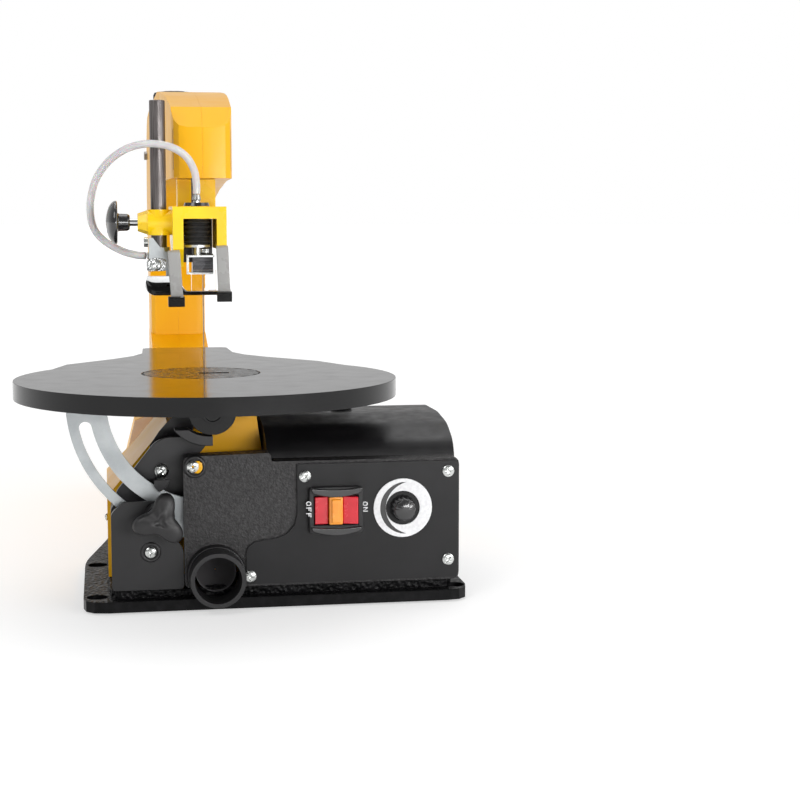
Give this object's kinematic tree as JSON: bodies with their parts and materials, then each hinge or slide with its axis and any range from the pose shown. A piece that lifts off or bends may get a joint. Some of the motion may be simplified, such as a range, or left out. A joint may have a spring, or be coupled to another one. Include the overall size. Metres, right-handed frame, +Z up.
{
  "type": "scroll saw",
  "caption": "Bench scroll saw with a yellow C-frame, round-fronted tilting black table, reciprocating blade, drop foot and air blower.",
  "frame": {"origin": "middle of the bounding box, on the bench under the feet", "axes": "-Y is the operator side, +Y towards the column, +X to the motor and switch side, +Z up"},
  "size_m": [0.2994, 0.6378, 0.371],
  "materials": {
    "yellow_paint": "gloss enamel",
    "black_enamel": "semi-gloss enamel",
    "black_plastic": "fine grain",
    "rubber": "matte",
    "zinc_plate": "galvanised",
    "steel": "ground",
    "chrome": "polished",
    "alloy": "cast",
    "clear_plastic": "clear",
    "red_plastic": "gloss",
    "orange_plastic": "gloss",
    "white_plastic": "printed"
  },
  "bodies": {
    "frame": {"base_plate": "black_enamel", "rubber_foot_front_left": "rubber", "rubber_foot_front_right": "rubber", "rubber_foot_rear_left": "rubber", "rubber_foot_rear_right": "rubber", "frame_half_left": "yellow_paint", "frame_half_right": "yellow_paint", "upper_pivot_pin": "steel", "lower_pivot_pin": "steel", "front_cover": "black_plastic", "left_cover": "black_plastic", "motor_cover": "black_plastic", "motor_cover_cap": "rubber", "dust_port": "black_plastic", "trunnion_bracket": "black_enamel", "tilt_pointer": "black_enamel", "bracket_screw": "zinc_plate", "rear_trunnion_seat": "black_enamel", "lock_plate": "black_plastic", "motor_stator": "alloy", "head_casting": "yellow_paint", "hood_back": "black_plastic", "guard_prong_left": "zinc_plate", "guard_prong_right": "zinc_plate", "pump_washer": "black_plastic", "hose_barb": "zinc_plate", "pump_bellows": "rubber", "switch_panel": "black_plastic", "switch_bezel": "black_plastic", "dial_ring": "white_plastic", "power_inlet": "black_plastic", "air_hose": "clear_plastic"},
    "table": {"table_top": "black_enamel", "table_insert": "black_enamel", "tilt_arc": "zinc_plate"},
    "blade_carriage": {"blade": "steel", "upper_blade_clamp": "steel", "lower_blade_clamp": "steel", "clamp_nut": "zinc_plate", "pump_bracket": "zinc_plate"},
    "upper_rocker": {"upper_arm": "alloy"},
    "lower_rocker": {"lower_arm": "alloy"},
    "rotor": {"motor_rotor": "steel"},
    "connecting_rod": {"pitman": "alloy"},
    "work_hold_down": {"foot_rod": "steel", "foot_bracket": "zinc_plate", "foot_side_screw": "zinc_plate", "air_nozzle": "zinc_plate", "nozzle_screw": "zinc_plate", "work_foot": "chrome", "blade_guard": "clear_plastic"},
    "foot_clamp": {"foot_clamp_stud": "chrome", "foot_clamp_knob": "black_plastic"},
    "tilt_lock": {"tilt_lock_knob": "black_plastic", "tilt_lock_stud": "zinc_plate"},
    "rocker": {"power_rocker": "red_plastic"},
    "key": {"safety_key": "orange_plastic"},
    "speed_dial": {"speed_knob": "black_plastic"},
    "tension": {"tension_knob": "black_plastic"}
  },
  "joints": [
    {"name": "table_tilt", "type": "hinge", "parent": "frame", "child": "table", "pos_m": [-0.02226, -0.16341, 0.138], "axis": [0, -1, 0], "range_deg": [0, 45]},
    {"name": "blade_stroke", "type": "slide", "parent": "frame", "child": "blade_carriage", "axis": [0, 0, 1], "range_m": [-0.008, 0.008], "deforming": ["pump_bellows"]},
    {"name": "upper_arm_rock", "type": "hinge", "parent": "frame", "child": "upper_rocker", "pos_m": [-0.02226, 0.27659, 0.312], "axis": [-1, 0, 0], "range_deg": [-1.1, 1.1]},
    {"name": "lower_arm_rock", "type": "hinge", "parent": "frame", "child": "lower_rocker", "pos_m": [-0.02226, 0.27659, 0.084], "axis": [-1, 0, 0], "range_deg": [-1.1, 1.1]},
    {"name": "motor_spin", "type": "hinge", "parent": "frame", "child": "rotor", "pos_m": [-0.02226, -0.13341, 0.062], "axis": [1, 0, 0], "continuous": true},
    {"name": "pitman_swing", "type": "hinge", "parent": "rotor", "child": "connecting_rod", "pos_m": [-0.02226, -0.12591, 0.062], "axis": [1, 0, 0], "continuous": true},
    {"name": "foot_height", "type": "slide", "parent": "frame", "child": "work_hold_down", "axis": [0, 0, 1], "range_m": [-0.045, 0]},
    {"name": "foot_clamp_turn", "type": "hinge", "parent": "frame", "child": "foot_clamp", "pos_m": [-0.02226, -0.18341, 0.2535], "axis": [-1, 0, 0], "range_deg": [-360, 30]},
    {"name": "tilt_lock_turn", "type": "hinge", "parent": "frame", "child": "tilt_lock", "pos_m": [-0.05617, -0.24341, 0.0629], "axis": [0, 1, 0], "range_deg": [-360, 30]},
    {"name": "power_switch", "type": "hinge", "parent": "frame", "child": "rocker", "pos_m": [0.06224, -0.23261, 0.063], "axis": [0, 0, 1], "range_deg": [0, 8]},
    {"name": "key_pull", "type": "slide", "parent": "rocker", "child": "key", "axis": [0, -1, 0], "range_m": [0, 0.012]},
    {"name": "speed_turn", "type": "hinge", "parent": "frame", "child": "speed_dial", "pos_m": [0.10474, -0.23841, 0.064], "axis": [0, 1, 0], "range_deg": [0, 270]},
    {"name": "tension_turn", "type": "hinge", "parent": "frame", "child": "tension", "pos_m": [-0.02226, 0.26859, 0.36], "axis": [0, 0, 1], "range_deg": [-360, 360]}
  ],
  "couplings": [
    {"joint": "upper_arm_rock", "follows": "blade_stroke", "rad_per_m": 2.2727},
    {"joint": "lower_arm_rock", "follows": "blade_stroke", "rad_per_m": 2.2727},
    {"joint": "pitman_swing", "follows": "motor_spin", "ratio": -1}
  ]
}
